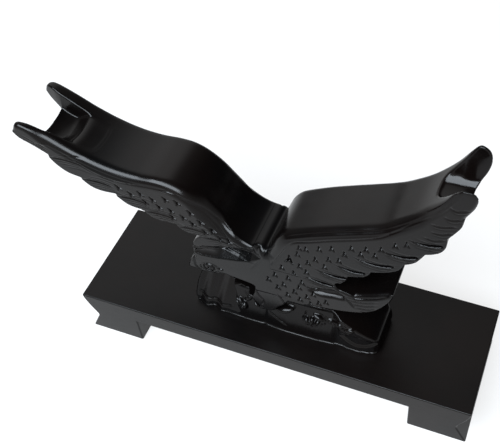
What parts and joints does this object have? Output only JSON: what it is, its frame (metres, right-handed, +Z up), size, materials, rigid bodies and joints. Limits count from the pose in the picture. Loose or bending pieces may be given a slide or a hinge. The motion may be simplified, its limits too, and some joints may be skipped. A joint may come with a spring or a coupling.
{
  "type": "carved eagle display rest",
  "caption": "Black lacquered carved rest: an eagle with raised, fork-tipped wings on a rock, on a board with two runner feet; a rod or sword lies across the forks.",
  "frame": {"origin": "On the surface that the rest stands on, under the middle of the whole object's length (left wing tip to right end of the board) and of the board's width.", "axes": "+Z up; +X along the board, with the bird's head and the lower, left wing towards -X; the carved front faces -Y."},
  "size_m": [0.429, 0.118, 0.3152],
  "materials": {
    "board_lacquer": "satin near-black lacquer over wood",
    "carving_lacquer": "glossy black lacquer over carved wood",
    "dowel_wood": "bare hardwood",
    "screw_steel": "zinc plated"
  },
  "bodies": {
    "root": {"base_board": "board_lacquer", "left_foot": "board_lacquer", "right_foot": "board_lacquer", "eagle_body": "carving_lacquer", "left_wing": "carving_lacquer", "right_wing": "carving_lacquer", "wing_dowels": "dowel_wood", "foot_dowels": "dowel_wood", "base_screws": "screw_steel"}
  },
  "joints": []
}
